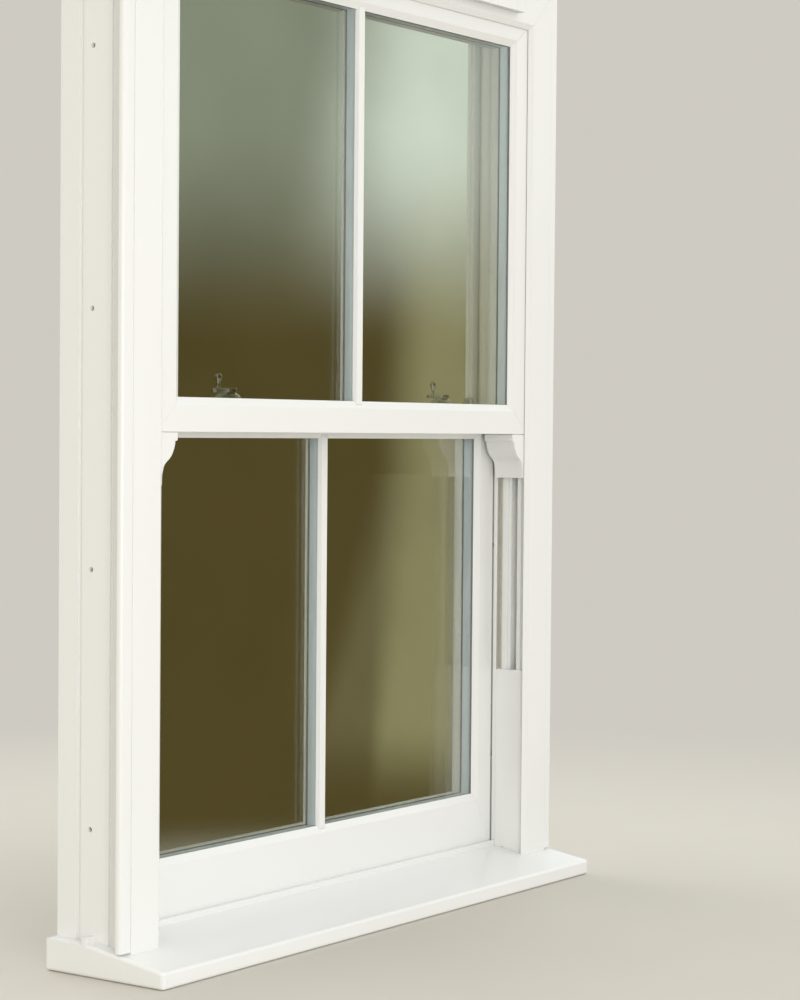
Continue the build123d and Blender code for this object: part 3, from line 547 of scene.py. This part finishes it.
def make_lock_domes():
    """Bodies of the locks: a rounded foot and a full, smooth dome, open in front so the cam swings out."""
    pivot_y, rail_top = 0.112, 0.990
    millimetre = 0.001
    # half length, half width and height of each level of the dome, in millimetres
    levels = ((33, 18.5, 0), (33, 18.5, 2.0), (32.4, 18.0, 2.5), (31.4, 17.2, 2.7), (31.0, 16.9, 6.5),
              (30.0, 16.1, 10.5), (28.4, 14.9, 14.0), (26.2, 13.3, 17.0), (23.6, 11.5, 19.2),
              (20.6, 9.6, 20.8), (17.6, 7.8, 21.7), (14.5, 6.0, 22.0))
    cam_foot, cam_top = rail_top + 0.0025, rail_top + 0.0095
    cam_half, cam_mouth = 0.0075, 0.0300
    swing_left, mouth_left = 0.0301, 0.0305
    overlap = 0.0005
    sides = 72
    turns = [2 * pi * i / sides for i in range(sides)]
    for hand, place in (("left", -0.283), ("right", 0.418)):
        mesh = bmesh.new()
        rings = []
        for level in levels:
            length, width, height = [size * millimetre for size in level]
            corners = [(place + rounded(cos(a), length), pivot_y + rounded(sin(a), width)) for a in turns]
            rings.append([mesh.verts.new((x, y, rail_top + height)) for x, y in corners])
        join_rings(mesh, rings)
        right = place + cam_half
        front = pivot_y - cam_half
        pockets = (
            ((place - swing_left, front, cam_foot), (right, pivot_y + cam_half, cam_top)),
            ((place - mouth_left, pivot_y - cam_mouth, cam_foot), (right, front + overlap, cam_top)),
        )
        dome = add_piece("lock_dome_" + hand, mesh, "lower_sash", "chrome", pockets, smooth=True)
        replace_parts(dome, "lock_base_" + hand)


# Studio

BACKGROUND = (0.62, 0.595, 0.54)
PAPER = ((0.65, 0.62, 0.56), (0.62, 0.59, 0.53))
# The light from all round, from below and above, and the warmer light from the left
SOFT_LIGHT = ((0.76, 0.72, 0.64), (1.05, 1.05, 1.04))
LEFT_LIGHT = (0.72, 0.66, 0.50)
# What glass and metal show: dark and warm to the left, paler to the right, below and above the horizon
MIRROR_LOW = ((0.142, 0.109, 0.038), (0.415, 0.385, 0.208))
MIRROR_HIGH = ((0.40, 0.44, 0.355), (1.05, 1.15, 1.08))
# Where each left tone gives way to the right one, in shares of the x axis
LOW_SIDES = (0.809, 0.824)
HIGH_SIDES = (0.782, 0.815)
# Where the sky's tone rises out of the floor's, in shares of the z axis
HORIZON = (0.03, 0.125)
# Distances from the window over which the floor fades: as seen, as mirrored, and between its two sides
SEEN_FADE = (1.2, 3.4)
MIRROR_FADE = (0.25, 1.2)
SIDES_FADE = (1.2, 3.2)
FLOOR_REACH = 40
FLOOR_LEVEL = -0.0005
SIGHT_LIMIT = 90


def make_floor():
    """A wide pale floor that fades into the background."""
    middle = Vector((0, 0, FLOOR_LEVEL))
    corners = ring_of_four(middle, Vector((FLOOR_REACH, 0, 0)), Vector((0, FLOOR_REACH, 0)))
    mesh = bpy.data.meshes.new("floor")
    mesh.from_pydata(corners, [], [(0, 1, 2, 3)])
    floor = bpy.data.objects.new("floor", mesh)
    scene.collection.objects.link(floor)
    finish = Finish("floor")
    place = finish.place()
    x, y, z = finish.axes(place)
    spread = (x * x + y * y) ** 0.5
    paper = finish.mixed(finish.noise(place, 0.6, 3), *PAPER)
    near = finish.add("ShaderNodeBsdfPrincipled", sockets={"Base Color": paper, "Roughness": 0.7})
    straight, through = finish.ray_kinds()
    mirrored = finish.mixed((x / spread).ramp(*LOW_SIDES) * spread.ramp(*SIDES_FADE), *MIRROR_LOW)
    colour = finish.mixed(through, BACKGROUND, mirrored)
    beyond = finish.add("ShaderNodeEmission", sockets={"Color": colour, "Strength": 1.0})
    share = (spread.ramp(*SEEN_FADE) * straight + spread.ramp(*MIRROR_FADE) * through).clipped()
    layers = {0: share, 1: near.outputs[0], 2: beyond.outputs[0]}
    surface = finish.add("ShaderNodeMixShader", sockets=layers)
    finish.add("ShaderNodeOutputMaterial", sockets={"Surface": surface.outputs[0]})
    mesh.materials.append(finish.material)


def make_world():
    """Soft light from all round, warmer from the left; what is seen directly is the plain background."""
    world = bpy.data.worlds.new("studio")
    scene.world = world
    world.use_nodes = True
    finish = Finish("studio", world.node_tree)
    direction = finish.add("ShaderNodeTexCoord").outputs["Generated"]
    x, y, z = finish.axes(direction)
    straight, through = finish.ray_kinds()
    cloud = finish.noise(direction, 0.12, 2)
    height = (z + 0.03 * (cloud - 0.5)).ramp(*HORIZON)
    low = finish.mixed(x.ramp(*LOW_SIDES), *MIRROR_LOW)
    high = finish.mixed(x.ramp(*HIGH_SIDES), *MIRROR_HIGH)
    mirror_sky = finish.mixed(height, low, high)
    soft = finish.mixed(z.ramp(-0.4, 0.6), *SOFT_LIGHT)
    sided = finish.mixed((0.0 - x).ramp(0.3, 0.95) * 0.8, soft, LEFT_LIGHT)
    lit = finish.mixed(through, sided, mirror_sky)
    colour = finish.mixed(straight, lit, BACKGROUND)
    backdrop = finish.add("ShaderNodeBackground", sockets={"Color": colour, "Strength": 1.0})
    finish.add("ShaderNodeOutputWorld", sockets={"Surface": backdrop.outputs[0]})


def make_lamp(name, place, aim, size, power, colour, mirrored=True):
    """A soft square lamp pointed at the window, out of sight, which a glossy surface may mirror."""
    data = bpy.data.lights.new(name, "AREA")
    data.shape = "SQUARE"
    data.size = size
    data.energy = power
    data.color = colour
    lamp = bpy.data.objects.new(name, data)
    lamp.location = place
    lamp.rotation_euler = (Vector(aim) - Vector(place)).to_track_quat("-Z", "Y").to_euler()
    lamp.visible_camera = False
    lamp.visible_glossy = mirrored
    lamp.visible_transmission = False
    scene.collection.objects.link(lamp)


def make_lamps():
    """Two lamps in front of the window and one behind it."""
    middle = (0, 0, 0.95)
    make_lamp("key", (-3.0, -3.3, 0.95), middle, 1.4, 53, (1.0, 1.0, 1.0))
    make_lamp("fill", (3.4, -2.2, 1.4), middle, 2.6, 12, (1.0, 0.99, 0.97), mirrored=False)
    make_lamp("back", (0.8, 3.6, 2.8), middle, 2.4, 40, (0.98, 0.99, 1.0), mirrored=False)


def make_camera():
    """The camera of the photograph: its place, heading, pitch and roll."""
    data = bpy.data.cameras.new("photo_camera")
    data.sensor_width = SENSOR_WIDTH
    data.lens = FOCAL_PIXELS / PHOTO_LONG_SIDE * SENSOR_WIDTH
    data.clip_end = SIGHT_LIMIT
    camera = bpy.data.objects.new("photo_camera", data)
    camera.matrix_world = (
        Matrix.Translation(CAMERA_PLACE)
        @ Matrix.Rotation(-CAMERA_HEADING, 4, "Z")
        @ Matrix.Rotation(pi / 2 - CAMERA_PITCH, 4, "X")
        @ Matrix.Rotation(CAMERA_ROLL, 4, "Z")
    )
    scene.collection.objects.link(camera)
    scene.camera = camera


make_camera()
made = finishes()
dress_nodes(made)
make_pile_strips()
make_twisted_rods("upper_rods", "upper_sash")
make_twisted_rods("lower_rods", "lower_carriage")
make_vent_grille()
make_lift_roses()
make_lock_domes()
make_floor()
make_world()
make_lamps()
scene.view_settings.view_transform = "Standard"
